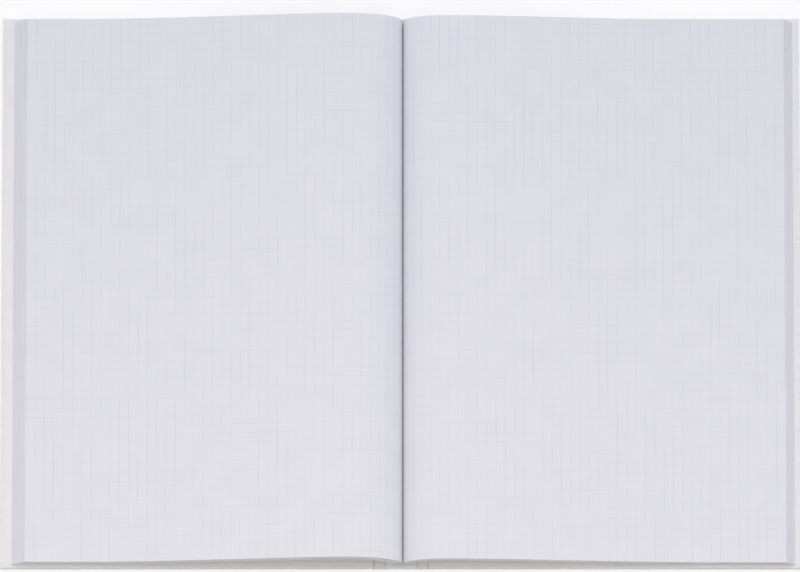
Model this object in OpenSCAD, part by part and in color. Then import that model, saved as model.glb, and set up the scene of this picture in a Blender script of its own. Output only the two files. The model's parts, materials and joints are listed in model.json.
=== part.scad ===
// Hardcover notebook, sewn in sections and lying open at the middle.
// Millimetres. +X is to the reader's right, +Y to the head of the page, +Z up.
// The origin is on the table, under the middle of the spine.

/* [Paper] */
// Width of a leaf, measured along the paper from its fold to the fore-edge
leaf_w = 210; // [200:1:212]
// Height of a leaf from head to tail
leaf_h = 297; // [250:1:310]
// Thickness of one leaf
leaf_t = 0.12; // [0.09:0.01:0.12]
// Leaves in each sewn section
section_leaves = 8; // [4:2:8]
// Thickness of the endpapers
endpaper_t = 0.15; // [0.1:0.01:0.2]

/* [Open pages] */
// Rise of the left-hand pages above their flat part
left_hump = 14.5; // [10:0.5:15]
// Rise of the right-hand pages above their flat part
right_hump = 11.5; // [8:0.5:12]
// Distance over which the left-hand pages climb out of the gutter
left_climb = 11; // [10:0.5:13]
// Distance over which the right-hand pages climb out of the gutter
right_climb = 8; // [8:0.5:11]
// Distance from the gutter to where the pages lie flat
hump_run = 175; // [150:5:180]
// Height of the gutter's bottom above the table
gutter_z = 7.4; // [7.3:0.1:8]
// Extra root length of the left-hand leaves for each mm of depth in the stack
left_arch = 0.32; // [0.2:0.01:0.32]
// Extra root length of the right-hand leaves for each mm of depth in the stack
right_arch = 0.25; // [0.1:0.01:0.3]

/* [Case] */
// Thickness of the cover boards
board_t = 2.5; // [2:0.1:3]
// Thickness of the spine board
spine_board_t = 1.5; // [1:0.1:1.5]
// Width of the spine board
spine_board_w = 16; // [14:0.5:17]
// Distance of the covers' outer edges from the middle of the spine
cover_reach = 213.5; // [212:0.5:220]
// Overhang of the covers past the leaves at head and tail
square = 2; // [1:0.5:4]
// Width of the flexible joint between spine board and cover board
joint_w = 7; // [6:0.5:9]
// Thickness of the covering
cloth_t = 0.25; // [0.2:0.05:0.3]
// Width of the covering turned in over the boards
turn_in_w = 15; // [10:1:20]
// Margin of turned-in covering left bare round the pastedown
pastedown_margin = 2.5; // [2:0.5:5]

/* [Spine] */
// Thickness of the sewing thread
thread_d = 0.3; // [0.2:0.05:0.3]
// Link stitches along the spine
stitches = 7; // [5:1:9]
// Thickness of the gauze and of the paper over the sewn folds
lining_t = 0.15; // [0.1:0.05:0.15]

/* [Hidden] */
LEFT = -1;
RIGHT = 1;
left_sections = 7;
right_sections = 5;
section_count = left_sections + right_sections;
function signature_name(i) = str("signature_", i < 10 ? "0" : "", i);

// Levels of the case lying flat
board_z = cloth_t;
turn_in_z = board_z + board_t;
rim_z = turn_in_z + cloth_t;
inner_z = rim_z + endpaper_t;
cover_h = leaf_h + 2 * square;
spine_edge = spine_board_w / 2;
board_in = spine_edge + joint_w;

// Room left between neighbouring sheets, and between a stack and its cover
slip = 0.04;
rest_gap = 0.05;

section_t = section_leaves * leaf_t;
function pick(side, left, right) = side < 0 ? left : right;
function stack_t(side) = pick(side, left_sections, right_sections) * section_t;
function hump(side) = pick(side, left_hump, right_hump);
function climb(side) = pick(side, left_climb, right_climb);
function arch(side) = pick(side, left_arch, right_arch);
function flat_z(side) = inner_z + rest_gap + endpaper_t + stack_t(side);

// The crease that a cover swings on lies in the covering, so that the closed covers meet the block
block_t = stack_t(LEFT) + stack_t(RIGHT) + 2 * (endpaper_t + rest_gap);
crease_z = cloth_t / 2;
crease_x = block_t / 2 + inner_z - crease_z;
crease_gap = 0.2;
// The block is centred on the spine, so the gutter is off centre where the stacks differ
gutter_x = (stack_t(LEFT) - stack_t(RIGHT)) / 2;

// Shape of the top leaf of a side, as a height over the distance u from the gutter:
// a quick climb, a long fall and a small dip into the gutter
dip_w = 1.2;
root_tail = 0.6;
fold_depth = 0.4;
curve_steps = 40;
slope_step = 0.02;
function smooth(t) = let (c = min(1, max(0, t))) c * c * (3 - 2 * c);
function swell(side, u) = (1 - exp(-u / climb(side))) * (1 - smooth(u / hump_run));
function crest(side) = max([for (u = [0 : 0.5 : hump_run]) swell(side, u)]);
left_crest = crest(LEFT);
right_crest = crest(RIGHT);
function page_z(side, u) =
    flat_z(side)
    + hump(side) * swell(side, u) / pick(side, left_crest, right_crest)
    - (flat_z(side) - gutter_z) * exp(-u / dip_w);
function page_angle(side, u) =
    atan((page_z(side, u + slope_step) - page_z(side, u - slope_step)) / (2 * slope_step));

// Stations along the curve, closest together where it bends most
stations = [for (i = [0 : curve_steps]) hump_run * pow(i / curve_steps, 2.2)];
function add(v) = v * [for (x = v) 1];
function path_len(p) = add([for (i = [1 : len(p) - 1]) norm(p[i] - p[i - 1])]);
function page_len(side) = path_len([for (u = stations) [u, page_z(side, u)]]);
left_len = page_len(LEFT);
right_len = page_len(RIGHT);

// A leaf at depth d in the stack runs parallel to the top one. All leaves have the same length,
// so the shorter way round the inside of the bend lets the lower ones reach further out.
function leaf_point(side, u, d) =
    let (a = page_angle(side, u)) [u + d * sin(a), page_z(side, u) - d * cos(a)];
function root_angle(side) = page_angle(side, 0);
function root_dir(side) = [cos(root_angle(side)), sin(root_angle(side))];
function root_len(side, d) = root_tail + arch(side) * d;
function root_point(side, d) = leaf_point(side, 0, d) - root_len(side, d) * root_dir(side);
function bend_len(side, d) =
    pick(side, left_len, right_len) - d * root_angle(side) * PI / 180 + root_len(side, d);
function leaf_end(side, d) = [hump_run + leaf_w - bend_len(side, d), flat_z(side) - d];

// Outline of a folded bundle of leaves between two depths, with its round back at the root
function fold_back(side, d1, d2) =
    let (
        along = root_dir(side),
        across = [along[1], -along[0]],
        c = root_point(side, (d1 + d2) / 2) + fold_depth * along
    )
    [for (a = [0 : 22.5 : 180]) c + (d2 - d1) / 2 * cos(a) * across - fold_depth * sin(a) * along];
function bundle(side, d1, d2) = concat(
    fold_back(side, d1, d2),
    [for (u = stations) leaf_point(side, u, d1)],
    [leaf_end(side, d1), leaf_end(side, d2)],
    [for (i = [0 : curve_steps]) leaf_point(side, stations[curve_steps - i], d2)]
);

// Puts an outline drawn from the gutter outwards on its side, clear of the other side's roots
function root_shift(side) = root_tail * cos(root_angle(side)) + slip;
function placed(side, points) =
    [for (p = points) [gutter_x + side * (p[0] + root_shift(side)), p[1]]];

// Extrudes an outline drawn in X and Z along Y, centred
module along_y(h) {
    rotate([90, 0, 0])
        linear_extrude(height = h, center = true)
            children();
}

// A block from its low corner to its high corner
module block(low, high) {
    translate(low)
        cube(high - low);
}

// Puts a shape drawn for the right-hand cover on either side
module on_side(side) {
    mirror([side < 0 ? 1 : 0, 0, 0])
        children();
}

module board(side) {
    color("tan")
        on_side(side)
            block(
                [board_in, cloth_t - cover_h / 2, board_z],
                [cover_reach - cloth_t, cover_h / 2 - cloth_t, turn_in_z]
            );
}

// Covering wrapped round a cover board on three edges, with the strip that crosses the joint
module cover_cloth(side) {
    half = cover_h / 2;
    double_in = crease_x + 4 * crease_gap;
    color("gainsboro")
        on_side(side) {
            difference() {
                block([board_in, -half, 0], [cover_reach, half, rim_z]);
                block(
                    [board_in - 1, cloth_t - half, board_z],
                    [cover_reach - cloth_t, half - cloth_t, turn_in_z]
                );
                block(
                    [board_in - 1, turn_in_w - half, board_z],
                    [cover_reach - turn_in_w, half - turn_in_w, rim_z + 1]
                );
            }
            block([crease_x + crease_gap, -half, 0], [board_in, half, cloth_t]);
            for (end = [0, 1])
                mirror([0, end, 0])
                    block([double_in, half - turn_in_w, cloth_t], [board_in, half, 2 * cloth_t]);
        }
}

// Endpaper half glued to the board, stepping up over the turned-in covering
module pastedown(side) {
    half = cover_h / 2;
    low = turn_in_w + endpaper_t;
    color("whitesmoke")
        on_side(side) {
            block(
                [board_in, low - half, turn_in_z],
                [cover_reach - low, half - low, turn_in_z + endpaper_t]
            );
            difference() {
                block(
                    [board_in, pastedown_margin - half, rim_z],
                    [cover_reach - pastedown_margin, half - pastedown_margin, inner_z]
                );
                block(
                    [board_in - 1, low - half, rim_z - 1],
                    [cover_reach - low, half - low, inner_z + 1]
                );
            }
            difference() {
                block(
                    [board_in, turn_in_w - half, turn_in_z],
                    [cover_reach - turn_in_w, half - turn_in_w, inner_z]
                );
                block(
                    [board_in - 1, low - half, turn_in_z - 1],
                    [cover_reach - low, half - low, inner_z + 1]
                );
            }
        }
}

module flyleaf(side) {
    top = stack_t(side);
    color("whitesmoke")
        along_y(leaf_h)
            polygon(placed(side, concat(
                [root_point(side, top)],
                [for (u = stations) leaf_point(side, u, top)],
                [leaf_end(side, top), leaf_end(side, top + endpaper_t)],
                [for (i = [0 : curve_steps])
                    leaf_point(side, stations[curve_steps - i], top + endpaper_t)],
                [root_point(side, top + endpaper_t)]
            )));
}

// Section i, counted from the front cover: the left-hand stack ends with the section that is open
module signature(i) {
    side = i <= left_sections ? LEFT : RIGHT;
    above = side < 0 ? left_sections - i : i - left_sections - 1;
    color("white")
        along_y(leaf_h)
            polygon(placed(side, bundle(
                side,
                above * section_t + slip / 2,
                (above + 1) * section_t - slip / 2
            )));
}

module spine_board() {
    color("tan")
        block(
            [-spine_edge, cloth_t - cover_h / 2, board_z],
            [spine_edge, cover_h / 2 - cloth_t, board_z + spine_board_t]
        );
}

// Covering of the spine, turned in over both ends of its board, with a round crease at each joint
module spine_cloth() {
    half = cover_h / 2;
    top = board_z + spine_board_t;
    double_out = crease_x - 4 * crease_gap;
    color("gainsboro") {
        block([-crease_x, -half, 0], [crease_x, half, cloth_t]);
        for (side = [LEFT, RIGHT])
            translate([side * crease_x, half, crease_z])
                rotate([90, 0, 0])
                    cylinder(d = cloth_t, h = cover_h, $fn = 24);
        for (end = [0, 1])
            mirror([0, end, 0]) {
                block([-spine_edge, half - cloth_t, 0], [spine_edge, half, top + cloth_t]);
                block([-spine_edge, half - turn_in_w, top], [spine_edge, half, top + cloth_t]);
                for (side = [0, 1])
                    mirror([side, 0, 0])
                        block([spine_edge, half - turn_in_w, cloth_t], [double_out, half, 2 * cloth_t]);
            }
    }
}

// The folds of all the sections stand in two slanted rows that meet under the gutter
function fold_row(side) = placed(side, [root_point(side, stack_t(side) + endpaper_t)])[0];
ridge = [gutter_x, min(root_point(LEFT, 0)[1], root_point(RIGHT, 0)[1])];
fold_line = [fold_row(LEFT), ridge, fold_row(RIGHT)];
// Lowering a slanted row by a height moves it less at right angles, least where it is steepest
fold_cos = min([for (end = [0, 2]) abs(fold_line[end][0] - ridge[0]) / norm(fold_line[end] - ridge)]);
thread_drop = (thread_d / 2 + slip) / fold_cos;
mull_drop = 2 * thread_drop;
function lowered(points, drop) = [for (p = points) p - [0, drop]];
module spine_strip(drop, h) {
    along_y(h)
        polygon(concat(
            lowered(fold_line, drop),
            [for (i = [2 : -1 : 0]) fold_line[i] - [0, drop + lining_t]]
        ));
}

module mull() {
    color("beige")
        spine_strip(mull_drop, leaf_h - 2 * turn_in_w);
}

module spine_lining() {
    color("burlywood")
        spine_strip(mull_drop + lining_t, leaf_h - 4);
}

// Link stitches lying across the folds, each bent over the ridge
module sewing_thread() {
    pitch = leaf_h / (stitches + 1);
    line = lowered(fold_line, thread_drop);
    color("ivory")
        for (i = [1 : stitches])
            translate([0, i * pitch - leaf_h / 2, 0]) {
                for (end = [0, 2]) {
                    run = line[end] - line[1];
                    translate([line[1][0], 0, line[1][1]])
                        rotate([0, 90 - atan2(run[1], run[0]), 0])
                            cylinder(d = thread_d, h = norm(run), $fn = 24);
                }
                translate([line[1][0], 0, line[1][1]])
                    sphere(d = thread_d, $fn = 24);
            }
}

board(LEFT);  // front_board
cover_cloth(LEFT);  // front_cloth
pastedown(LEFT);  // front_pastedown
flyleaf(LEFT);  // front_flyleaf
board(RIGHT);  // back_board
cover_cloth(RIGHT);  // back_cloth
pastedown(RIGHT);  // back_pastedown
flyleaf(RIGHT);  // back_flyleaf
spine_board();
spine_cloth();
spine_lining();
mull();
sewing_thread();
for (i = [1 : section_count])
    signature(i);
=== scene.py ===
"""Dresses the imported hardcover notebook: sewn leaves, covering and endpapers, on a pale studio floor."""

import json
import logging
import math
from dataclasses import dataclass, field
from enum import Enum

import bmesh
import bpy
import numpy as np
from bpy.types import Material, Node, NodeSocket, NodeTree, Object
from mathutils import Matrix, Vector


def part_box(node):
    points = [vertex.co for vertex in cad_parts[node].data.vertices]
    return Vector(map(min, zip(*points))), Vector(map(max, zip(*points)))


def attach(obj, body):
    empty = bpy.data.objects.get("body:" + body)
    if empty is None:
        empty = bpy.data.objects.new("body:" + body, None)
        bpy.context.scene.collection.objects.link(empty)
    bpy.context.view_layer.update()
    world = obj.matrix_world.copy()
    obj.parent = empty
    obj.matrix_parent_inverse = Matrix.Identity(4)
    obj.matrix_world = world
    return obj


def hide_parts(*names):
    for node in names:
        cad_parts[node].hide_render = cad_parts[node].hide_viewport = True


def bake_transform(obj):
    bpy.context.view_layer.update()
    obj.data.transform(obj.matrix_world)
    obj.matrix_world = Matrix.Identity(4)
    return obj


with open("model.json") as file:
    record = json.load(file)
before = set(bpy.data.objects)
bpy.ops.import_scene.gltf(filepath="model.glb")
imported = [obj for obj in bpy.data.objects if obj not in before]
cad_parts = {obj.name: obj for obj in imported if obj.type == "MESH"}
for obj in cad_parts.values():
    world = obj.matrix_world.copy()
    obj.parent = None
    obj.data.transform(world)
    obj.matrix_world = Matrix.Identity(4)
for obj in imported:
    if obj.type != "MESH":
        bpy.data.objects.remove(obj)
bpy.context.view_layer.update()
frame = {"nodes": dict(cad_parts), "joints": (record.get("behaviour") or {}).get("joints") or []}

MM = 0.001
SHEET_PLACE = "sheet_place"
LOG = logging.getLogger("notebook")

# Numbers of the sockets on a Mix node, whose names repeat: for two colours, and for two plain levels
MIX_A, MIX_B, MIX_RESULT = 6, 7, 2
LEVEL_A, LEVEL_B, LEVEL_RESULT = 2, 3, 0


class Side(Enum):
    """The two halves of the open notebook, with the sign of their X."""

    LEFT = -1
    RIGHT = 1


class Place(Enum):
    """What a finish takes the place of its pattern from, always in metres."""

    OBJECT = "object"
    SHEET = "sheet"


def linear(colour: str) -> tuple[float, float, float, float]:
    """Turns an sRGB hex colour into linear RGBA.

    Args:
        colour: The colour as "#RRGGBB".

    Returns:
        Linear red, green, blue and an alpha of one.
    """
    parts = [int(colour[i : i + 2], 16) / 255 for i in (1, 3, 5)]
    red, green, blue = (c / 12.92 if c <= 0.04045 else ((c + 0.055) / 1.055) ** 2.4 for c in parts)
    return red, green, blue, 1.0


def shader_node(tree: NodeTree, kind: str, inputs: dict[str | int, object], **settings: str) -> Node:
    """Adds a shader node with its settings, values and links.

    Args:
        tree: The node tree that gets the node.
        kind: The node's type, without the ShaderNode that it starts with.
        inputs: A value or an output socket for each input, by its name or number.
        settings: The node's own properties.

    Returns:
        The new node.
    """
    node = tree.nodes.new("ShaderNode" + kind)
    for name, value in settings.items():
        setattr(node, name, value)
    for key, value in inputs.items():
        if isinstance(value, NodeSocket):
            tree.links.new(value, node.inputs[key])
        else:
            node.inputs[key].default_value = value
    return node


def seen_directly(tree: NodeTree) -> NodeSocket:
    """Tells a background that is seen from one that only lights the rest.

    Args:
        tree: The nodes of the background.

    Returns:
        1 where it is seen, mirrored or looked through to, and 0 elsewhere.
    """
    path = shader_node(tree, "LightPath", {})
    inputs = {0: path.outputs["Is Camera Ray"], 1: path.outputs["Is Glossy Ray"]}
    near = shader_node(tree, "Math", inputs, operation="MAXIMUM")
    inputs = {0: near.outputs[0], 1: path.outputs["Is Transmission Ray"]}
    return shader_node(tree, "Math", inputs, operation="MAXIMUM").outputs[0]


def per_metre(size_mm: float) -> float:
    """Gives the texture scale at which one feature is about this many mm wide."""
    return 1 / (size_mm * MM)


def smooth(t: np.ndarray) -> np.ndarray:
    """Eases from 0 to 1 as t does, flat at both ends."""
    c = np.clip(t, 0.0, 1.0)
    return c * c * (3 - 2 * c)


def run_along(line: np.ndarray) -> np.ndarray:
    """Gives the distance along a line at each of its points."""
    return np.concatenate([[0.0], np.cumsum(np.linalg.norm(np.diff(line, axis=0), axis=1))])


@dataclass(frozen=True)
class Finish:
    """A matt fibrous material: two close colours in soft patches, and a fine grain in height and gloss."""

    name: str
    colour: str
    patch_colour: str
    patch_mm: float
    grain_mm: float
    relief_mm: float
    roughness: float
    roughness_swing: float = 0.06
    ior: float = 1.5
    stretch: tuple[float, float, float] = (1.0, 1.0, 1.0)
    place: Place = Place.OBJECT
    patch_span: tuple[float, float] = (0.3, 0.7)
    noise_detail: float = 3.0

    def position(self, tree: NodeTree) -> NodeSocket:
        """Finds where the pattern lies on the surface.

        Args:
            tree: The material's nodes.

        Returns:
            The place in metres.
        """
        if self.place is Place.SHEET:
            return shader_node(tree, "Attribute", {}, attribute_name=SHEET_PLACE).outputs["Vector"]
        return shader_node(tree, "TexCoord", {}).outputs["Object"]

    def noise(self, tree: NodeTree, where: NodeSocket, size_mm: float) -> NodeSocket:
        """Makes a soft noise.

        Args:
            tree: The material's nodes.
            where: The place on the surface.
            size_mm: The size of its features.

        Returns:
            Levels from 0 to 1.
        """
        stretched = shader_node(tree, "Mapping", {"Vector": where, "Scale": self.stretch}).outputs["Vector"]
        inputs = {"Vector": stretched, "Scale": per_metre(size_mm), "Detail": self.noise_detail}
        return shader_node(tree, "TexNoise", inputs).outputs["Fac"]

    def tint(self, tree: NodeTree, where: NodeSocket) -> NodeSocket:
        """Mixes the two colours in soft patches.

        Args:
            tree: The material's nodes.
            where: The place on the surface.

        Returns:
            The colour.
        """
        patches = self.noise(tree, where, self.patch_mm)
        low, high = self.patch_span
        sharper = shader_node(tree, "MapRange", {"Value": patches, "From Min": low, "From Max": high})
        inputs = {0: sharper.outputs["Result"], MIX_A: linear(self.colour), MIX_B: linear(self.patch_colour)}
        return shader_node(tree, "Mix", inputs, data_type="RGBA").outputs[MIX_RESULT]

    def height(self, tree: NodeTree, where: NodeSocket) -> NodeSocket:
        """Gives the relief from 0 to 1."""
        return self.noise(tree, where, self.grain_mm)

    def surface(self, tree: NodeTree, shader: Node) -> NodeSocket:
        """Gives what the material shows, which is the plain shader."""
        return shader.outputs["BSDF"]

    def build(self) -> Material:
        """Makes the material from the finish's colour and relief.

        Returns:
            The new material.
        """
        material = bpy.data.materials.new(self.name)
        material.use_nodes = True
        tree = material.node_tree
        tree.nodes.clear()
        where = self.position(tree)
        height = self.height(tree, where)
        low, high = self.roughness - self.roughness_swing, self.roughness + self.roughness_swing
        gloss = shader_node(tree, "MapRange", {"Value": height, "To Min": high, "To Max": low})
        bump = shader_node(tree, "Bump", {"Height": height, "Distance": self.relief_mm * MM})
        inputs = {"Base Color": self.tint(tree, where), "Roughness": gloss.outputs["Result"], "IOR": self.ior}
        shader = shader_node(tree, "BsdfPrincipled", {**inputs, "Normal": bump.outputs["Normal"]})
        shader_node(tree, "OutputMaterial", {"Surface": self.surface(tree, shader)})
        return material


@dataclass(frozen=True)
class LitBackground(Finish):
    """Background paper with a light of its own, so that it stays white and keeps a soft shadow."""

    glow: float = 0.65

    def surface(self, tree: NodeTree, shader: Node) -> NodeSocket:
        """Mixes the paper with plain white where it is seen.

        Args:
            tree: The material's nodes.
            shader: The plain paper.

        Returns:
            What the material shows.
        """
        white = shader_node(tree, "Emission", {"Color": linear("#FFFFFF"), "Strength": 1.0})
        share = shader_node(tree, "Math", {0: seen_directly(tree), 1: self.glow}, operation="MULTIPLY")
        inputs = {0: share.outputs[0], 1: shader.outputs["BSDF"], 2: white.outputs["Emission"]}
        return shader_node(tree, "MixShader", inputs).outputs["Shader"]


@dataclass(frozen=True)
class RuledPaper(Finish):
    """Paper printed on both sides with a faint square grid that runs off its edges."""

    line_colour: str = "#B3B4C6"
    pitch_mm: float = 5.0
    line_mm: float = 0.24
    line_edge: tuple[float, float] = (0.35, 0.65)
    ink: float = 0.34
    ink_least: float = 0.1
    ink_span: tuple[float, float] = (0.35, 0.7)
    ink_run_mm: float = 60.0
    pulled: float = 1.5

    def tint(self, tree: NodeTree, where: NodeSocket) -> NodeSocket:
        """Prints the lines on the paper.

        Args:
            tree: The material's nodes.
            where: The place on the sheet.

        Returns:
            The colour.
        """
        paper = super().tint(tree, where)
        axes = shader_node(tree, "SeparateXYZ", {"Vector": where})
        half_pitch = self.pitch_mm * MM / 2
        inner, outer = (self.line_mm * MM * share for share in self.line_edge)
        ends = {"From Min": inner, "From Max": outer, "To Min": 1.0, "To Max": 0.0}
        light, heavy = self.ink_span
        across, along = per_metre(self.pitch_mm), per_metre(self.ink_run_mm)
        # Each line runs heavy and light by itself, most where the sheet was pulled through the press along it
        looks = {"X": ((across, along, 1.0), self.pulled), "Y": ((along, across, 1.0), 1 / self.pulled)}
        lines = []
        for axis, (scale, weight) in looks.items():
            away = shader_node(tree, "Math", {0: axes.outputs[axis], 1: half_pitch}, operation="PINGPONG")
            line = shader_node(tree, "MapRange", {"Value": away.outputs[0], **ends})
            run = shader_node(tree, "Mapping", {"Vector": where, "Scale": scale}).outputs["Vector"]
            uneven = shader_node(tree, "TexNoise", {"Vector": run, "Scale": 1.0, "Detail": 1.0})
            most = self.ink * weight
            spread = {"From Min": light, "From Max": heavy, "To Min": self.ink_least * most, "To Max": most}
            strength = shader_node(tree, "MapRange", {"Value": uneven.outputs["Fac"], **spread})
            inputs = {0: line.outputs["Result"], 1: strength.outputs["Result"]}
            lines.append(shader_node(tree, "Math", inputs, operation="MULTIPLY").outputs[0])
        inked = shader_node(tree, "Math", {0: lines[0], 1: lines[1]}, operation="MAXIMUM")
        inputs = {0: inked.outputs[0], MIX_A: paper, MIX_B: linear(self.line_colour)}
        return shader_node(tree, "Mix", inputs, data_type="RGBA").outputs[MIX_RESULT]


@dataclass(frozen=True)
class Woven(Finish):
    """Plain-weave fabric: threads that pass over and under each other both ways."""

    thread_mm: float = 0.9
    slub: float = 0.4
    # How much painted shade darkens the cloth between the threads, in the weave's hollows
    painted_gap_shade: float = 0.15

    def height(self, tree: NodeTree, where: NodeSocket) -> NodeSocket:
        """Weaves the relief, roughened by thick and thin places in the threads.

        Args:
            tree: The material's nodes.
            where: The place on the cloth.

        Returns:
            Heights from 0 to 1.
        """
        axes = shader_node(tree, "SeparateXYZ", {"Vector": where})
        waves = []
        for axis in ("X", "Y"):
            turn = {0: axes.outputs[axis], 1: math.pi * per_metre(self.thread_mm)}
            angle = shader_node(tree, "Math", turn, operation="MULTIPLY")
            waves.append(shader_node(tree, "Math", {0: angle.outputs[0]}, operation="SINE").outputs[0])
        crossing = shader_node(tree, "Math", {0: waves[0], 1: waves[1]}, operation="MULTIPLY")
        woven = shader_node(tree, "MapRange", {"Value": crossing.outputs[0], "From Min": -1.0})
        slubs = self.noise(tree, where, self.grain_mm)
        inputs = {0: self.slub, LEVEL_A: woven.outputs["Result"], LEVEL_B: slubs}
        return shader_node(tree, "Mix", inputs, data_type="FLOAT").outputs[LEVEL_RESULT]

    def tint(self, tree: NodeTree, where: NodeSocket) -> NodeSocket:
        """Paints shade into the cloth's colour a little between the threads, where its relief is low.

        Args:
            tree: The material's nodes.
            where: The place on the cloth.

        Returns:
            The colour.
        """
        inputs = {"Value": self.height(tree, where), "To Min": 1 - self.painted_gap_shade, "To Max": 1.0}
        shade = shader_node(tree, "MapRange", inputs).outputs["Result"]
        inputs = {0: super().tint(tree, where), "Scale": shade}
        return shader_node(tree, "VectorMath", inputs, operation="SCALE").outputs["Vector"]


@dataclass
class Shell:
    """The surface of one piece while it is put together, in mm."""

    points: list[np.ndarray] = field(default_factory=list)
    places: list[np.ndarray] = field(default_factory=list)
    shares: list[np.ndarray] = field(default_factory=list)
    faces: list[tuple[int, ...]] = field(default_factory=list)
    cut: list[bool] = field(default_factory=list)

    def add_face(self, corners: tuple[int, ...], cut: bool = False) -> None:
        """Adds a face, which may lie on a cut edge of the sheet."""
        self.faces.append(corners)
        self.cut.append(cut)

    def add_rows(
        self,
        points: np.ndarray,
        places: np.ndarray,
        shares: np.ndarray,
        closed: bool,
        cut: tuple[int, ...] = (),
    ) -> int:
        """Adds rows of vertices and the faces between them.

        Args:
            points: Their x, y and z, row by row.
            places: Their place on the sheet: distance from the fold, along the fold, and depth.
            shares: The share of the joint's turn that each follows.
            closed: Whether each row goes round to its own start.
            cut: The columns whose faces lie on a cut edge of the sheet.

        Returns:
            The number of the first vertex.
        """
        first = sum(len(p) for p in self.points)
        self.points.append(points.reshape(-1, 3))
        self.places.append(places.reshape(-1, 3))
        self.shares.append(shares.reshape(-1))
        rows, width = points.shape[:2]
        for low in range(first, first + (rows - 1) * width, width):
            for column in range(width if closed else width - 1):
                after = (column + 1) % width
                corners = (low + column, low + after, low + width + after, low + width + column)
                self.add_face(corners, column in cut)
        return first

    def piece(self, name: str, materials: list[Material], sharp_deg: float = 40.0) -> Object:
        """Makes the object.

        Args:
            name: Its name.
            materials: The surface's material and, where it differs, that of cut edges.
            sharp_deg: The least angle at which an edge is drawn sharp.

        Returns:
            The new object, linked to the scene.
        """
        mesh = bpy.data.meshes.new(name)
        mesh.from_pydata(np.concatenate(self.points) * MM, [], self.faces)
        for material in materials:
            mesh.materials.append(material)
        last = len(materials) - 1
        mesh.polygons.foreach_set("material_index", [last if cut else 0 for cut in self.cut])
        place = mesh.attributes.new(SHEET_PLACE, "FLOAT_VECTOR", "POINT")
        place.data.foreach_set("vector", (np.concatenate(self.places) * MM).astype(np.float32).ravel())
        outward = bmesh.new()
        outward.from_mesh(mesh)
        bmesh.ops.recalc_face_normals(outward, faces=outward.faces)
        outward.to_mesh(mesh)
        outward.free()
        mesh.shade_smooth()
        mesh.set_sharp_from_angle(angle=math.radians(sharp_deg))
        made = bpy.data.objects.new(name, mesh)
        bpy.context.scene.collection.objects.link(made)
        return made


@dataclass(frozen=True)
class Paper:
    """Driving sizes of the leaves in mm, with the names that the part's source gives them."""

    leaf_w: float = 210.0
    leaf_h: float = 297.0
    leaf_t: float = 0.12
    section_leaves: int = 8
    endpaper_t: float = 0.15
    hump_run: float = 175.0
    gutter_z: float = 7.4
    dip_w: float = 1.2
    root_tail: float = 0.6
    fold_depth: float = 0.4
    slip: float = 0.04
    rest_gap: float = 0.05
    curve_steps: int = 40
    flat_steps: int = 4
    crowding: float = 2.2
    crest_step: float = 0.5
    slope_step: float = 0.02

    @property
    def section_t(self) -> float:
        """Thickness of a section."""
        return self.section_leaves * self.leaf_t

    @property
    def stations(self) -> np.ndarray:
        """Places along the curved part of a leaf, closest together where it bends most."""
        return self.hump_run * (np.arange(self.curve_steps + 1) / self.curve_steps) ** self.crowding


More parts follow.
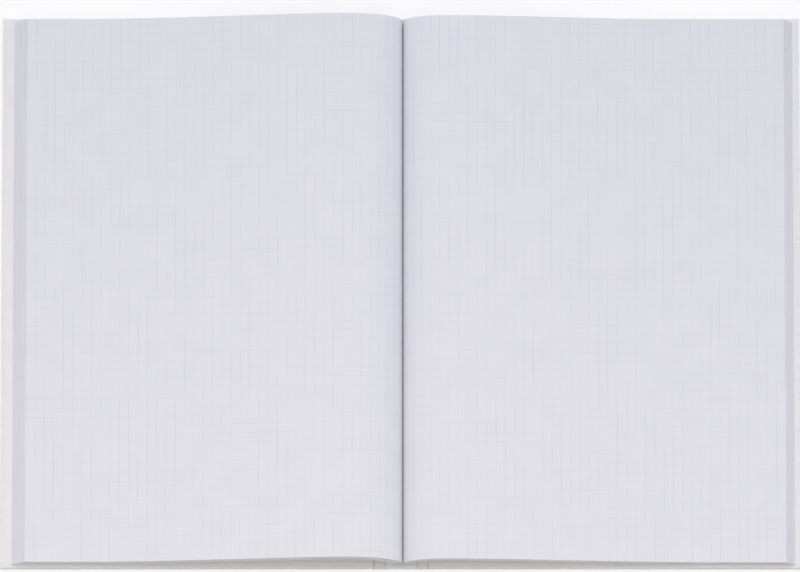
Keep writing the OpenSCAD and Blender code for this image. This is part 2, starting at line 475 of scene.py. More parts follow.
@dataclass(frozen=True)
class Stack:
    """One half of the open text block: leaves of equal length that run parallel to the top one."""

    side: Side
    sections: int
    hump: float
    climb: float
    arch: float
    gutter_x: float
    base_z: float
    hinge_x: float
    hinge_z: float
    paper: Paper

    @property
    def thickness(self) -> float:
        """Thickness of the stack's sections."""
        return self.sections * self.paper.section_t

    @property
    def flat_z(self) -> float:
        """Height of the top leaf where it lies flat."""
        return self.base_z + self.thickness

    def swell(self, u: np.ndarray) -> np.ndarray:
        """A quick climb out of the gutter and a long fall."""
        return (1 - np.exp(-u / self.climb)) * (1 - smooth(u / self.paper.hump_run))

    def page_z(self, u: np.ndarray) -> np.ndarray:
        """Gives the height of the top leaf.

        Args:
            u: Distances from the gutter.

        Returns:
            The heights there.
        """
        crest = self.swell(np.arange(0.0, self.paper.hump_run, self.paper.crest_step)).max()
        dip = (self.flat_z - self.paper.gutter_z) * np.exp(-u / self.paper.dip_w)
        return self.flat_z + self.hump * self.swell(u) / crest - dip

    def page_angle(self, u: np.ndarray) -> np.ndarray:
        """Slope of the top leaf, as an angle."""
        step = self.paper.slope_step
        return np.arctan((self.page_z(u + step) - self.page_z(u - step)) / (2 * step))

    @property
    def along(self) -> np.ndarray:
        """Direction in which the leaves leave their fold."""
        root = self.page_angle(np.zeros(1))[0]
        return np.array([math.cos(root), math.sin(root)])

    def leaf_points(self, u: np.ndarray, depth: float) -> np.ndarray:
        """Points of the leaf at this depth, as distance from the gutter and height."""
        angle = self.page_angle(u)
        return np.stack([u + depth * np.sin(angle), self.page_z(u) - depth * np.cos(angle)], 1)

    def root_len(self, depth: float) -> float:
        """Length of a leaf between its fold and the start of the curve."""
        return self.paper.root_tail + self.arch * depth

    def root_point(self, depth: float) -> np.ndarray:
        """Where the leaf at this depth is folded."""
        return self.leaf_points(np.zeros(1), depth)[0] - self.root_len(depth) * self.along

    def leaf_path(self, depth: float, trim: float) -> np.ndarray:
        """Runs along a leaf.

        Args:
            depth: Its depth in the stack.
            trim: How much shorter than the others it was cut.

        Returns:
            Points from the start of the curve to the fore-edge.
        """
        curved = run_along(self.leaf_points(self.paper.stations, 0.0))[-1]
        root = math.atan2(self.along[1], self.along[0])
        bend = curved - depth * root + self.root_len(depth)
        end = self.paper.hump_run + self.paper.leaf_w - bend - trim
        flat = np.linspace(self.paper.hump_run, end, self.paper.flat_steps + 1)[1:]
        level = np.full_like(flat, self.flat_z - depth)
        return np.concatenate([self.leaf_points(self.paper.stations, depth), np.stack([flat, level], 1)])

    def fold_arc(self, low: float, high: float, half: float, steps: int = 8) -> np.ndarray:
        """Goes round the back of a fold.

        Args:
            low: The least depth of the section.
            high: Its greatest depth.
            half: Half the width of the arc.
            steps: The number of its edges.

        Returns:
            Points from the upper leaf to the lower one.
        """
        across = np.array([self.along[1], -self.along[0]])
        deep = self.paper.fold_depth
        centre = self.root_point((low + high) / 2) + deep * self.along
        turn = np.linspace(math.pi, 0.0, steps + 1)[:, None]
        reach = deep * half / ((high - low) / 2)
        return centre + half * np.cos(turn) * across - reach * np.sin(turn) * self.along

    def place(self, run: np.ndarray) -> np.ndarray:
        """Turns a distance from the gutter into x, clear of the other side's roots."""
        shift = self.paper.root_tail * self.along[0] + self.paper.slip
        return self.gutter_x + self.side.value * (run + shift)

    def turn_share(self, x: np.ndarray, z: np.ndarray, depth: np.ndarray) -> np.ndarray:
        """Finds how much of the cover's turn each point follows, so that a closed leaf stands straight.

        Args:
            x: Where the points are, across the notebook.
            z: Their heights.
            depth: The depths of their leaves, which are their places in the closed block.

        Returns:
            Shares from 0, with the spine, to 1, with the cover.
        """
        out, up = self.side.value * (x - self.hinge_x), z - self.hinge_z
        inward = self.side.value * (self.gutter_x - self.hinge_x) + depth
        reach = np.hypot(out, up)
        turn = np.arccos(np.clip(inward / reach, -1, 1)) - np.arctan2(up, out)
        return np.clip(turn / (math.pi / 2), 0, 1)


LEAF_BODY = {Side.LEFT: "left_leaves", Side.RIGHT: "right_leaves"}
COVER_NAME = {Side.LEFT: "front", Side.RIGHT: "back"}


@dataclass
class TextBlock:
    """The sewn sections of folded sheets and the two free endpapers."""

    stacks: dict[Side, Stack]
    page: Material
    cut: Material
    endpaper: Material
    leaf_gap: float = 0.012
    trim_most: float = 0.16
    loose_from: float = 80.0
    wave_h: float = 0.2
    wave_len: float = 120.0
    wave_slant: float = 0.2
    corner_lift: float = 0.5
    corner_power: int = 6
    lip_h: float = 1.0
    lip_rise: float = 0.3
    lip_fall: float = 3.0
    lip_depth: float = 2.0
    open_rows: int = 36
    pattern_step: float = 500.0
    seed: int = 7

    def lift(self, run: np.ndarray, y: np.ndarray) -> np.ndarray:
        """Lifts the topmost leaf off the one below, most at its free corners.

        Args:
            run: Distances from the gutter.
            y: Places along the fold.

        Returns:
            The heights of the lift.
        """
        paper = self.stacks[Side.LEFT].paper
        loose = smooth((run - self.loose_from) / (paper.leaf_w - self.loose_from))
        wave = 0.5 + 0.5 * np.sin(2 * math.pi * (y + self.wave_slant * run) / self.wave_len)
        corner = np.abs(2 * y / paper.leaf_h) ** self.corner_power
        return loose * (self.wave_h * wave + self.corner_lift * corner)

    def lip(self, run: np.ndarray, depth: np.ndarray) -> np.ndarray:
        """Swells the upper leaves beside the gutter, before they drop into it.

        Args:
            run: Distances from the gutter.
            depth: Depths in the stack.

        Returns:
            The heights of the swelling.
        """
        away = np.maximum(run, 0.0)
        swell = (1 - np.exp(-away / self.lip_rise)) * np.exp(-((away / self.lip_fall) ** 2))
        return self.lip_h * swell * np.clip(1 - depth / self.lip_depth, 0.0, 1.0)

    def add_strip(
        self,
        shell: Shell,
        stack: Stack,
        faces: tuple[np.ndarray, np.ndarray],
        depths: tuple[np.ndarray, np.ndarray],
        fold: int,
        rows: np.ndarray,
        raised: np.ndarray,
        offset: float,
    ) -> None:
        """Adds one sheet of paper as a closed thin strip.

        Args:
            shell: The piece that gets it.
            stack: The stack that it lies in.
            faces: The lines of its two faces, seen from the tail.
            depths: The depth of each point of these lines.
            fold: The number of the point at the fold.
            rows: Places along the fold, from the tail to the head.
            raised: Which points belong to a topmost leaf.
            offset: Where the sheet's own pattern starts.
        """
        count = len(faces[0])
        width = 2 * count
        loop = np.concatenate([faces[0], faces[1][::-1]])
        depth = np.concatenate([depths[0], depths[1][::-1]])
        free = np.concatenate([raised, raised[::-1]])
        along = rows[:, None]
        z = loop[:, 1] + self.lip(loop[:, 0], depth) + np.where(free, self.lift(loop[:, 0], along), 0.0)
        x, y = (np.broadcast_to(a, z.shape) for a in (stack.place(loop[:, 0]), along))
        run = run_along(faces[0])
        away = np.abs(run - run[fold]) + offset
        place = np.broadcast_to(np.concatenate([away, away[::-1]]), z.shape)
        share = stack.turn_share(x, z, depth)
        deep = np.broadcast_to(depth, z.shape)
        cut = (count - 1, width - 1)
        first = shell.add_rows(np.stack([x, y, z], 2), np.stack([place, y, deep], 2), share, True, cut)
        for base in (first, first + (len(rows) - 1) * width):
            for i in range(count - 1):
                shell.add_face((base + i, base + i + 1, base + width - 2 - i, base + width - 1 - i), True)

    def add_sheet(self, shell: Shell, stack: Stack, above: int, nest: int, rng: np.random.Generator) -> None:
        """Adds one folded sheet of a section.

        Args:
            shell: The piece that gets it.
            stack: The stack that it lies in.
            above: The number of sections above its own.
            nest: How many sheets it is folded round by.
            rng: The source of small errors in cutting.
        """
        paper = stack.paper
        low = above * paper.section_t + paper.slip / 2
        high = (above + 1) * paper.section_t - paper.slip / 2
        pitch = (high - low) / paper.section_leaves
        trim_up, trim_low, trim_end = rng.uniform(0.0, self.trim_most, 3)
        lines, depths = [], []
        for inside in (0.0, pitch - self.leaf_gap):
            upper, lower = low + nest * pitch + inside, high - nest * pitch - inside
            arc = stack.fold_arc(low, high, (lower - upper) / 2)
            top, bottom = stack.leaf_path(upper, trim_up), stack.leaf_path(lower, trim_low)
            lines.append(np.concatenate([top[::-1], arc, bottom]))
            folded = np.linspace(upper, lower, len(arc))
            depths.append(np.concatenate([np.full(len(top), upper), folded, np.full(len(bottom), lower)]))
        open_leaf = above == 0 and nest == 0
        half = paper.leaf_h / 2 - trim_end
        rows = np.linspace(-half, half, self.open_rows + 1 if open_leaf else 2)
        raised = open_leaf & (np.arange(len(lines[0])) < len(top))
        # The pattern of each sheet starts a whole number of squares further on, so that no two look alike
        offset = self.pattern_step * (1 + nest + paper.section_leaves * (above + stack.sections))
        fold = len(top) + len(arc) // 2
        self.add_strip(shell, stack, tuple(lines), tuple(depths), fold, rows, raised, offset)

    def bend(self, piece: Object, shell: Shell, stack: Stack, slot: str) -> None:
        """Bakes a piece's placing into its mesh.

        Args:
            piece: The finished piece.
            shell: Not used.
            stack: The stack that it lies in.
            slot: Not used.
        """
        end = stack.place(np.array([stack.paper.leaf_w]))[0]
        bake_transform(piece)

    def section(self, number: int, rng: np.random.Generator) -> list[Object]:
        """Builds one section, whose sheet that lies open is a piece of its own.

        Args:
            number: Its number, counted from the front cover.
            rng: The source of small errors in cutting.

        Returns:
            Its pieces.
        """
        left = self.stacks[Side.LEFT]
        stack = left if number <= left.sections else self.stacks[Side.RIGHT]
        above = left.sections - number if stack is left else number - left.sections - 1
        shells = {}
        for nest in range(stack.paper.section_leaves // 2):
            opened = above == 0 and nest == 0
            name = f"{stack.side.name.lower()}_open_sheet" if opened else f"section_{number:02d}_sheets"
            self.add_sheet(shells.setdefault(name, Shell()), stack, above, nest, rng)
        pieces = []
        for name, shell in shells.items():
            piece = shell.piece(name, [self.page, self.cut])
            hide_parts(f"signature_{number:02d}")
            self.bend(piece, shell, stack, "page_paper")
            pieces.append(piece)
        return pieces

    def flyleaf(self, stack: Stack) -> Object:
        """Builds the free half of an endpaper.

        Args:
            stack: The stack that lies on it.

        Returns:
            The piece.
        """
        paper = stack.paper
        depth = (stack.thickness, stack.thickness + paper.endpaper_t)
        lines = [np.concatenate([[stack.root_point(d)], stack.leaf_path(d, 0.0)]) for d in depth]
        deep = [np.full(len(lines[0]), d) for d in depth]
        rows = np.linspace(-paper.leaf_h / 2, paper.leaf_h / 2, 2)
        shell = Shell()
        self.add_strip(shell, stack, tuple(lines), tuple(deep), 0, rows, np.zeros(len(lines[0]), bool), 0.0)
        name = COVER_NAME[stack.side]
        piece = shell.piece(f"{name}_free_endpaper", [self.endpaper, self.cut])
        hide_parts(f"{name}_flyleaf")
        self.bend(piece, shell, stack, "endpaper")
        return piece

    def build(self) -> list[Object]:
        """Builds all the sections and both free endpapers.

        Returns:
            The pieces.
        """
        rng = np.random.default_rng(self.seed)
        numbers = range(1, sum(s.sections for s in self.stacks.values()) + 1)
        sheets = [piece for number in numbers for piece in self.section(number, rng)]
        return sheets + [self.flyleaf(stack) for stack in self.stacks.values()]


@dataclass
class Case:
    """The covering, turned in at its edges and pressed into the joints, and the endpapers there, in mm."""

    covering: Material
    endpaper: Material
    stacks: dict[Side, Stack]
    edge_r: float = 0.5
    corner_r: float = 0.5
    sheet_t: float = 0.22
    turn_in_w: float = 15.0
    turn_in_rows: tuple[float, ...] = (1.0, 0.5, 0.1)
    doubled_h: float = 0.55
    groove_h: float = 0.6
    groove_gap: float = 0.3
    step_w: float = 0.5
    step_from: float = 0.6
    bend_half: float = 0.6
    spine_over: float = 0.4
    mitre_h: float = 0.1
    mitre_gap: float = 0.02
    fall_w: float = 0.6
    fall_h: float = 1.2
    paper_from: float = 0.9
    climb_gap: float = 0.3
    climb_z: float = 1.5
    climb_in: float = 0.1
    meet_gap: float = 0.9
    root_gap: float = 0.08
    ease: tuple[float, float] = (0.1, 0.2)
    corner_steps: int = 4
    panel_steps: int = 8
    weld: float = 0.002
    sharp_deg: float = 50.0

    def __post_init__(self) -> None:
        """Takes the sizes of the case from the frame."""
        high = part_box("back_cloth")[1]
        self.reach, self.half_h, self.rim_z = high.x / MM, high.y / MM, high.z / MM
        self.board_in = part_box("back_board")[0].x / MM
        self.board_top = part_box("back_board")[1].z / MM
        self.spine_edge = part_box("spine_board")[1].x / MM
        self.spine_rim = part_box("spine_cloth")[1].z / MM
        self.crease = self.stacks[Side.RIGHT].hinge_x
        self.seam = self.spine_edge + self.spine_over

    def edge_profile(self, height: float) -> np.ndarray:
        """Goes round a wrapped edge.

        Args:
            height: The height of what the covering is wrapped round.

        Returns:
            Inset from the edge, share of the height and inset on the flat cloth, from the inner end of the
            bottom to that of the top.
        """
        turn = np.linspace(0.0, math.pi / 2, self.corner_steps + 1)
        low = [self.edge_r * (1 - np.sin(turn)), self.edge_r * (1 - np.cos(turn))]
        high = [low[0][::-1], height - low[1][::-1]]
        flat = self.turn_in_w * np.array(self.turn_in_rows)
        inset = np.concatenate([flat, low[0], high[0], flat[::-1]])
        rise = np.concatenate([np.zeros(len(flat)), low[1], high[1], np.full(len(flat), height)])
        run = run_along(np.stack([inset, rise], 1))
        return np.stack([inset, rise / height, self.turn_in_w - run], 1)

    def rise(self, x: np.ndarray, share: np.ndarray, full: float) -> np.ndarray:
        """Gives the height of the covering, which is thin over the joint and full over a board.

        Args:
            x: Distance from the middle of the spine.
            share: Share of the height of the wrapped edge.
            full: The full height.

        Returns:
            The heights.
        """
        first, last = self.crease + self.bend_half, self.board_in - self.groove_gap
        pressed = np.sin(math.pi * np.clip((x - first) / (last - first), 0, 1)) ** 2
        step = smooth((x - self.board_in + self.step_w) / self.step_w)
        return self.groove_h * pressed + share * (self.doubled_h + (full - self.doubled_h) * step)

    def finish_sheet(self, name: str, grid: Shell, material: Material, thick: float) -> Object:
        """Welds a one-sided sheet and thickens it inwards.

        Args:
            name: The piece's name.
            grid: The sheet's outer face.
            material: Its finish.
            thick: Its thickness.

        Returns:
            The piece, as a closed mesh.
        """
        piece = grid.piece(name, [material])
        weld = bmesh.new()
        weld.from_mesh(piece.data)
        bmesh.ops.remove_doubles(weld, verts=weld.verts, dist=self.weld * MM)
        bmesh.ops.recalc_face_normals(weld, faces=weld.faces)
        lowest = min(weld.faces, key=lambda face: face.calc_center_median().z - face.calc_area())
        if lowest.normal.z > 0:
            bmesh.ops.reverse_faces(weld, faces=weld.faces)
        weld.to_mesh(piece.data)
        weld.free()
        solid = piece.modifiers.new("thickness", "SOLIDIFY")
        solid.thickness, solid.offset = thick * MM, -1.0
        graph = bpy.context.evaluated_depsgraph_get()
        piece.data = bpy.data.meshes.new_from_object(piece.evaluated_get(graph))
        piece.modifiers.clear()
        piece.data.set_sharp_from_angle(angle=math.radians(self.sharp_deg))
        return piece

    @staticmethod
    def add_grid(shell: Shell, points: np.ndarray, flat: np.ndarray) -> None:
        """Adds an open grid of points, with their x and y on the sheet before it was bent."""
        level = np.zeros(points.shape[:2] + (1,))
        shell.add_rows(points, np.concatenate([flat, level], 2), level, False)

    def joint_stations(self) -> np.ndarray:
        """Divides a joint, most finely where the covering bends and steps.

        Returns:
            Distances from the middle of the spine.
        """
        near, far = self.crease - self.bend_half, self.crease + self.bend_half
        step_x = self.board_in - self.step_from
        bend = np.linspace(near, far, self.panel_steps + 1)
        groove = np.linspace(far, step_x, self.panel_steps + 1)[1:]
        step = np.linspace(step_x, self.board_in, self.corner_steps + 1)[1:]
        return np.concatenate([[self.seam], bend[bend > self.seam], groove, step])

    def outline(
        self, inset: float, least_r: float, joint: np.ndarray, part: np.ndarray
    ) -> tuple[np.ndarray, np.ndarray]:
        """Goes round three sides of a cover.

        Args:
            inset: Distance inwards from the cover's edge.
            least_r: The least radius of the corners.
            joint: Places across the joint.
            part: Shares of the way along a side.

        Returns:
            Points x and y from the joint at the head to the joint at the tail, and the way outwards at each.
        """
        corner = np.linspace(math.pi / 2, 0.0, self.corner_steps + 1)
        round_r = max(self.corner_r - inset, least_r)
        end_x, end_y = self.reach - inset - round_r, self.half_h - inset - round_r
        head_x = np.concatenate([joint, self.board_in + part * (end_x - self.board_in)])
        head = np.stack([head_x, np.full(len(head_x), self.half_h - inset)], 1)
        ray = np.stack([np.cos(corner), np.sin(corner)], 1)
        down = end_y * (1 - 2 * part[:-1])
        front = np.stack([np.full(len(down), self.reach - inset), down], 1)
        half = np.concatenate([head, (end_x, end_y) + round_r * ray])
        if inset >= self.corner_r:
            # Behind the rounding each turn-in is cut straight at the mitre
            ray = np.where(corner[:, None] > corner[-2], (0.0, 1.0), (1.0, 0.0))
        out = np.concatenate([np.full_like(head, (0.0, 1.0)), ray])
        points = np.concatenate([half, front, (half * (1, -1))[::-1]])
        return points, np.concatenate([out, np.full_like(front, (1.0, 0.0)), (out * (1, -1))[::-1]])

    def cover(self, side: Side) -> Object:
        """Builds the covering of one board, with its strip across the joint.

        Args:
            side: The half that the board is on.

        Returns:
            The piece.
        """
        shell = Shell()
        profile = self.edge_profile(self.rim_z)
        joint = self.joint_stations()
        part = np.linspace(0.0, 1.0, self.panel_steps + 1)[1:]
        rings = [self.outline(inset, share * self.mitre_gap, joint, part) for inset, share, _ in profile]
        plan, out = (np.array(arrays) for arrays in zip(*rings))
        flat = plan + out * (profile[:, 0] - profile[:, 2])[:, None, None]
        inner_x, inner_y = self.reach - self.turn_in_w, self.half_h - self.turn_in_w
        panel_x = np.concatenate([joint, self.board_in + part * (inner_x - self.board_in)])
        panel_y = inner_y * np.concatenate([[1.0], 1 - 2 * part])
        panel = np.stack(np.meshgrid(panel_x, panel_y), 2)
        mirror = np.array([side.value, 1])
        for where, cloth, share in ((plan, flat, profile[:, 1]), (panel, panel, np.zeros(len(panel)))):
            z = self.rise(where[..., 0], share[:, None], self.rim_z)
            if where is plan:
                # At the mitred corners the turn-ins of head and tail lie over the one of the fore-edge
                first = len(joint) + len(part)
                upper = np.arange(first - 1, first + self.corner_steps - 1)
                turned_in = (share == 1) & (profile[:, 0] > self.corner_r)
                z[np.ix_(turned_in, np.concatenate([upper, -1 - upper]))] += self.mitre_h
            self.add_grid(shell, np.concatenate([where * mirror, z[..., None]], 2), cloth * mirror)
        name = COVER_NAME[side]
        piece = self.finish_sheet(f"{name}_covering", shell, self.covering, self.sheet_t)
        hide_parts(f"{name}_cloth")
        self.hinge(piece, side, "covering")
        return piece

    def hinge(self, piece: Object, side: Side, slot: str) -> None:
        """Bakes a sheet's placing into its mesh.

        Args:
            piece: The sheet.
            side: Not used.
            slot: Not used.
        """
        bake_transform(piece)

    def spine(self) -> Object:
        """Builds the covering of the spine, turned in at head and tail.

        Returns:
            The piece.
        """
        profile = self.edge_profile(self.spine_rim)
        level_to = self.spine_edge - self.groove_gap
        edge = np.linspace(self.spine_edge, self.seam, self.corner_steps + 1)
        half = np.concatenate([[0.0], np.linspace(level_to / 2, level_to, 3), edge])
        across = np.concatenate([-half[:0:-1], half])
        head = np.array([self.half_h, 1.0, self.half_h])
        around = np.concatenate([head - profile[::-1], profile - head])
        share = np.concatenate([profile[::-1, 1], profile[:, 1]])
        x, y = np.meshgrid(across, around[:, 0])
        flat = np.stack(np.meshgrid(across, around[:, 2]), 2)
        step = smooth((self.seam - np.abs(x)) / self.spine_over)
        level = self.doubled_h + (self.spine_rim - self.doubled_h) * step
        shell = Shell()
        self.add_grid(shell, np.stack([x, y, share[:, None] * level], 2), flat)
        piece = self.finish_sheet("spine_covering", shell, self.covering, self.sheet_t)
        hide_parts("spine_cloth")
        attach(piece, "spine")
        return piece

    def joint_paper(self, side: Side) -> Object:
        """Builds the endpaper between the pastedown and the free endpaper, pressed into the joint.

        Args:
            side: The half that the joint is on.

        Returns:
            The piece.
        """
        stack = self.stacks[side]
        paper = stack.paper
        root = stack.root_point(stack.thickness + paper.endpaper_t)
        root_x = side.value * stack.place(root[:1])[0]
        floor = self.sheet_t + paper.slip
        groove_x = np.linspace(self.board_in - self.paper_from, self.crease, self.panel_steps + 1)
        groove_z = self.rise(groove_x, np.zeros(len(groove_x)), 0.0) + floor
        turn = np.linspace(0.0, math.pi / 2, self.corner_steps + 1)
        fall = np.stack([self.fall_w * np.sin(turn), self.fall_h * (1 - np.cos(turn))], 1)
        edge = np.array([self.board_in, self.board_top]) - fall
        top_z = self.spine_rim + self.climb_gap
        climb = [[self.spine_edge + self.climb_gap, self.climb_z], [self.spine_edge - self.climb_in, top_z]]
        meet = [[root_x + self.meet_gap, (top_z + root[1]) / 2], [root_x + self.root_gap, root[1]]]
        path = np.concatenate([edge, np.stack([groove_x, groove_z], 1), climb, meet])
        # Over the turned-in covering at head and tail the paper lies one thickness of covering higher
        step = self.half_h - self.turn_in_w
        half = np.array([step - self.ease[0], step + self.ease[1], paper.leaf_h / 2])
        rows = np.concatenate([-half[::-1], [0.0], half])
        over_board = np.full(len(edge), self.rim_z - self.board_top)
        over_joint = np.full(len(groove_x), self.doubled_h - self.sheet_t)
        raised = np.concatenate([over_board, over_joint, np.zeros(len(climb) + len(meet))])
        doubled = np.abs(rows[:, None]) > step
        x = np.broadcast_to(side.value * path[:, 0], (len(rows), len(path)))
        y = np.broadcast_to(rows[:, None], x.shape)
        shell = Shell()
        self.add_grid(shell, np.stack([x, y, path[:, 1] + doubled * raised], 2), np.stack([x, y], 2))
        name = f"{COVER_NAME[side]}_joint_endpaper"
        piece = self.finish_sheet(name, shell, self.endpaper, paper.endpaper_t)
        self.hinge(piece, side, "endpaper")
        return piece

    def build(self) -> list[Object]:
        """Builds the covering and the endpapers in both joints.

        Returns:
            The pieces.
        """
        pieces = [self.spine()]
        for side in Side:
            pieces += [self.cover(side), self.joint_paper(side)]
        return pieces


@dataclass
class Gauze:
    """The open weave that is glued over the sewn folds, in mm."""

    material: Material
    stacks: dict[Side, Stack]
    pitch: float = 1.5
    yarn_w: float = 0.22
    yarn_t: float = 0.07
    weave_h: float = 0.03
    stitch_d: float = 0.3
    sheet_t: float = 0.15
    sharp_deg: float = 100.0

    def middle(self) -> np.ndarray:
        """Goes along the folds of the sections, in the middle of the gauze under the stitches.

        Returns:
            Points x and z of the left end, the ridge under the gutter and the right end.
        """
        ends, tops = [], []
        for stack in self.stacks.values():
            root = stack.root_point(stack.thickness + stack.paper.endpaper_t)
            ends.append([stack.place(root[:1])[0], root[1]])
            tops.append(stack.root_point(0.0)[1])
        ridge = [self.stacks[Side.LEFT].gutter_x, min(tops)]
        line = np.array([ends[0], ridge, ends[1]])
        run = np.abs(line[[0, 2]] - line[1])
        flattest = (run[:, 0] / np.linalg.norm(run, axis=1)).min()
        drop = 2 * (self.stitch_d / 2 + self.stacks[Side.LEFT].paper.slip) / flattest + self.sheet_t / 2
        return line - [0.0, drop]

    @staticmethod
    def add_yarn(shell: Shell, path: np.ndarray, wide: np.ndarray, thick: np.ndarray) -> None:
        """Adds one yarn as a closed tube of four sides.

        Args:
            shell: The piece that gets it.
            path: Points along its middle.
            wide: From the middle to its side.
            thick: From the middle to its top.
        """
        ring = np.stack([wide, thick, -wide, -thick])
        sides = len(ring)
        points = path[:, None] + ring
        first = shell.add_rows(points, points, np.zeros(points.shape[:2]), True)
        last = first + sides * (len(path) - 1)
        shell.add_face(tuple(range(first, first + sides)))
        shell.add_face(tuple(range(last, last + sides))[::-1])

    def build(self) -> Object:
        """Weaves the gauze over and under, and lays it on the spine.

        Returns:
            The piece.
        """
        line = self.middle()
        stops = run_along(line)
        low, high = (corner.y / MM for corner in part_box("mull"))
        half_pitch = self.pitch / 2
        across = np.arange(half_pitch / 2, stops[-1], half_pitch)
        along = np.arange(low + half_pitch / 2, high, half_pitch)
        x, z = (np.interp(across, stops, line[:, k]) for k in (0, 1))
        thick = np.array([0.0, 0.0, self.yarn_t / 2])
        shell = Shell()
        for j, y in enumerate(along[1::2]):
            wave = self.weave_h * np.cos(math.pi * (np.arange(len(across)) - 1) / 2 + math.pi * j)
            path = np.stack([x, np.full_like(x, y), z + wave], 1)
            self.add_yarn(shell, path, np.array([0.0, self.yarn_w / 2, 0.0]), thick)
        slope = np.gradient(np.stack([x, np.zeros_like(x), z], 1), axis=0)
        slope *= self.yarn_w / 2 / np.linalg.norm(slope, axis=1)[:, None]
        for i, k in enumerate(range(1, len(across), 2)):
            wave = -self.weave_h * np.cos(math.pi * (np.arange(len(along)) - 1) / 2 + math.pi * i)
            path = np.stack([np.full_like(along, x[k]), along, z[k] + wave], 1)
            self.add_yarn(shell, path, slope[k], thick)
        piece = shell.piece("spine_gauze", [self.material], self.sharp_deg)
        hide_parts("mull")
        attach(piece, "spine")
        return piece


@dataclass
class Studio:
    """A pale floor, soft light from above and a camera that looks down on the open pages."""

    floor_material: Material
    image_px: int = 800
    px_per_mm: float = 1.872
    tilt_deg: float = 12.5
    distance: float = 8.0
    target_mm: tuple[float, float, float] = (-0.5, 2.15, 9.0)
    sensor_mm: float = 36.0
    floor_m: float = 12.0
    floor_gap: float = 0.0002
    sky_colour: str = "#F2F3FF"
    sky_strength: float = 0.79
    sky_lean: float = 0.9
    key_colour: str = "#FFF5D6"
    key_power: float = 3.15
    key_size: float = 0.9
    key_place: tuple[float, float, float] = (-0.03, -0.35, 0.85)

    def camera(self) -> None:
        """Sets the camera at the height and tilt from which the pages were seen."""
        tilt = math.radians(self.tilt_deg)
        data = bpy.data.cameras.new("camera")
        data.sensor_width = self.sensor_mm
        data.lens = self.sensor_mm * self.distance / (self.image_px / self.px_per_mm * MM)
        camera = bpy.data.objects.new("camera", data)
        back = np.array([0.0, -math.sin(tilt), math.cos(tilt)])
        camera.location = np.array(self.target_mm) * MM + self.distance * back
        camera.rotation_euler = (tilt, 0.0, 0.0)
        bpy.context.scene.collection.objects.link(camera)
        bpy.context.scene.camera = camera

    def lights(self) -> None:
        """Hangs one large soft lamp and sets a pale sky, at a level that renders colours as written."""
        lamp = bpy.data.lights.new("key_lamp", "AREA")
        lamp.energy, lamp.size = self.key_power, self.key_size
        lamp.color = linear(self.key_colour)[:3]
        key = bpy.data.objects.new("key_lamp", lamp)
        key.location = self.key_place
        key.rotation_euler = Vector(self.key_place).to_track_quat("Z", "Y").to_euler()
        key.visible_camera = False
        bpy.context.scene.collection.objects.link(key)
        world = bpy.data.worlds.new("pale_sky")
        bpy.context.scene.world = world
        world.use_nodes = True
        tree = world.node_tree
        tree.nodes.clear()
        # The sky is brighter behind the head than before the tail, so the tail edges lie in soft shade
        way = shader_node(tree, "TexCoord", {}).outputs["Generated"]
        axes = shader_node(tree, "SeparateXYZ", {"Vector": way})
        level = {0: axes.outputs["Y"], 1: self.sky_lean * self.sky_strength, 2: self.sky_strength}
        strength = shader_node(tree, "Math", level, operation="MULTIPLY_ADD").outputs[0]
        light = shader_node(tree, "Background", {"Color": linear(self.sky_colour), "Strength": strength})
        white = shader_node(tree, "Background", {"Color": linear("#FFFFFF"), "Strength": 1.0})
        inputs = {0: seen_directly(tree), 1: light.outputs[0], 2: white.outputs[0]}
        both = shader_node(tree, "MixShader", inputs)
        shader_node(tree, "OutputWorld", {"Surface": both.outputs[0]})

    def floor(self) -> None:
        """Lays a wide sheet of background paper just under the notebook."""
        side = self.floor_m / 2
        mesh = bpy.data.meshes.new("floor")
        corners = [(-side, -side, 0.0), (side, -side, 0.0), (side, side, 0.0), (-side, side, 0.0)]
        mesh.from_pydata(corners, [], [(0, 1, 2, 3)])
        mesh.materials.append(self.floor_material)
        floor = bpy.data.objects.new("floor", mesh)
        floor.location.z = -self.floor_gap
        bpy.context.scene.collection.objects.link(floor)

    def build(self) -> None:
        """Sets up the view, the light and the floor."""
        bpy.context.scene.view_settings.view_transform = "Standard"
        self.camera()
        self.lights()
        self.floor()


# Uncoated woodfree writing paper: matt, faintly cloudy where the pulp lies thicker, cool from its whitener.
# Its fibres are some 0.03 mm wide, and are drawn coarser so that they show.
WRITING_PAPER = RuledPaper(
    "uncoated_writing_paper", "#E3E4E9", "#E0E1E8", patch_mm=14.0, grain_mm=1.1, relief_mm=0.02,
    roughness=0.88, place=Place.SHEET,
)
# Guillotined paper edges: cut fibres scatter more and every leaf catches the light a little differently,
# so the grain is drawn out along the leaf and is about a leaf thick across it
CUT_PAPER = Finish(
    "guillotined_paper_edge", "#ECECEF", "#DADADF", patch_mm=0.7, grain_mm=0.4, relief_mm=0.02,
    roughness=0.95, roughness_swing=0.04, stretch=(0.02, 0.02, 1.0), place=Place.SHEET,
)
# Heavy offset paper of the endpapers: a little smoother and whiter than the pages
OFFSET_PAPER = Finish(
    "offset_endpaper", "#EDEDEF", "#E9E9EC", patch_mm=11.0, grain_mm=0.9, relief_mm=0.015, roughness=0.82,
)
# Dyed cotton book cloth with a filled back: a matt plain weave whose threads, near 0.4 mm apart, are drawn
# coarser so that the cloth shows
BOOK_CLOTH = Woven(
    "cotton_book_cloth", "#F3F3F5", "#EDEEF0", patch_mm=3.0, grain_mm=1.6, relief_mm=0.08, roughness=0.8,
    place=Place.SHEET,
)
# Greyboard pressed from recycled pulp: dull, with grey flecks
GREYBOARD = Finish(
    "recycled_greyboard", "#A79F94", "#8C867E", patch_mm=1.3, grain_mm=0.6, relief_mm=0.05, roughness=0.95,
    roughness_swing=0.04,
)
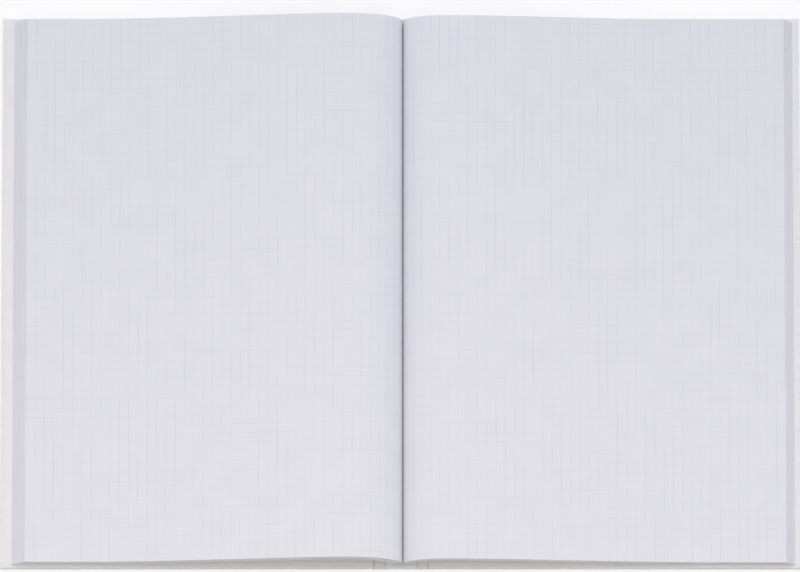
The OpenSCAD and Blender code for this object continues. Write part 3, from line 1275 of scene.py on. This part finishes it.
# Machine-glazed lining paper over the spine: long pale grey fibres that run from head to tail
LINING_PAPER = Finish(
    "glazed_lining_paper", "#C9C8C6", "#B9B8B7", patch_mm=2.0, grain_mm=0.5, relief_mm=0.02, roughness=0.78,
    stretch=(1.0, 0.15, 1.0),
)
# Starched cotton gauze: dull white yarn, a little darker where the glue soaked in
GAUZE = Finish(
    "starched_gauze", "#E3E2E0", "#CBC9C6", patch_mm=1.5, grain_mm=0.2, relief_mm=0.02, roughness=0.85,
)
# Waxed linen sewing thread: off-white, with the soft gloss of wax over its twist
LINEN_THREAD = Finish(
    "waxed_linen_thread", "#EAE3D0", "#D8CEB5", patch_mm=0.6, grain_mm=0.2, relief_mm=0.03, roughness=0.55,
    ior=1.46, stretch=(1.0, 2.0, 1.0),
)
# Seamless background paper: white, dead matt
BACKGROUND_PAPER = LitBackground(
    "seamless_background_paper", "#FCFCFC", "#FBFBFB", patch_mm=60.0, grain_mm=2.0, relief_mm=0.01,
    roughness=0.97, roughness_swing=0.02,
)

CAD_FINISHES = {
    "front_board": GREYBOARD,
    "back_board": GREYBOARD,
    "spine_board": GREYBOARD,
    "front_pastedown": OFFSET_PAPER,
    "back_pastedown": OFFSET_PAPER,
    "spine_lining": LINING_PAPER,
    "sewing_thread": LINEN_THREAD,
}


def make_stacks() -> dict[Side, Stack]:
    """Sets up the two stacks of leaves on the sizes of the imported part.

    Returns:
        The stack of each side.
    """
    paper = Paper()
    hinges = {joint["child"]: joint["pos_m"] for joint in frame["joints"]}
    base_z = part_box("front_pastedown")[1].z / MM + paper.rest_gap + paper.endpaper_t
    shapes = {
        Side.LEFT: {"sections": 7, "hump": 14.5, "climb": 11.0, "arch": 0.32},
        Side.RIGHT: {"sections": 5, "hump": 11.5, "climb": 8.0, "arch": 0.25},
    }
    more_left = shapes[Side.LEFT]["sections"] - shapes[Side.RIGHT]["sections"]
    stacks = {}
    for side, shape in shapes.items():
        hinge = hinges[LEAF_BODY[side]]
        stacks[side] = Stack(
            side=side,
            gutter_x=more_left * paper.section_t / 2,
            base_z=base_z,
            hinge_x=hinge[0] / MM,
            hinge_z=hinge[2] / MM,
            paper=paper,
            **shape,
        )
    return stacks


def main() -> None:
    """Builds the studio, the leaves and the case, and gives the carried-over nodes their finishes."""
    logging.basicConfig(level=logging.INFO, format="%(name)s %(message)s")
    Studio(floor_material=BACKGROUND_PAPER.build()).build()
    stacks = make_stacks()
    endpaper = OFFSET_PAPER.build()
    pieces = TextBlock(stacks, page=WRITING_PAPER.build(), cut=CUT_PAPER.build(), endpaper=endpaper).build()
    pieces += Case(covering=BOOK_CLOTH.build(), endpaper=endpaper, stacks=stacks).build()
    pieces.append(Gauze(material=GAUZE.build(), stacks=stacks).build())
    for piece in pieces:
        LOG.info("%s: %d faces", piece.name, len(piece.data.polygons))
    made = {OFFSET_PAPER.name: endpaper}
    for name, finish in CAD_FINISHES.items():
        if finish.name not in made:
            made[finish.name] = finish.build()
        mesh = frame["nodes"][name].data
        mesh.materials.clear()
        mesh.materials.append(made[finish.name])
        LOG.info("%s: %s", name, finish.name)


if __name__ == "__main__":
    main()
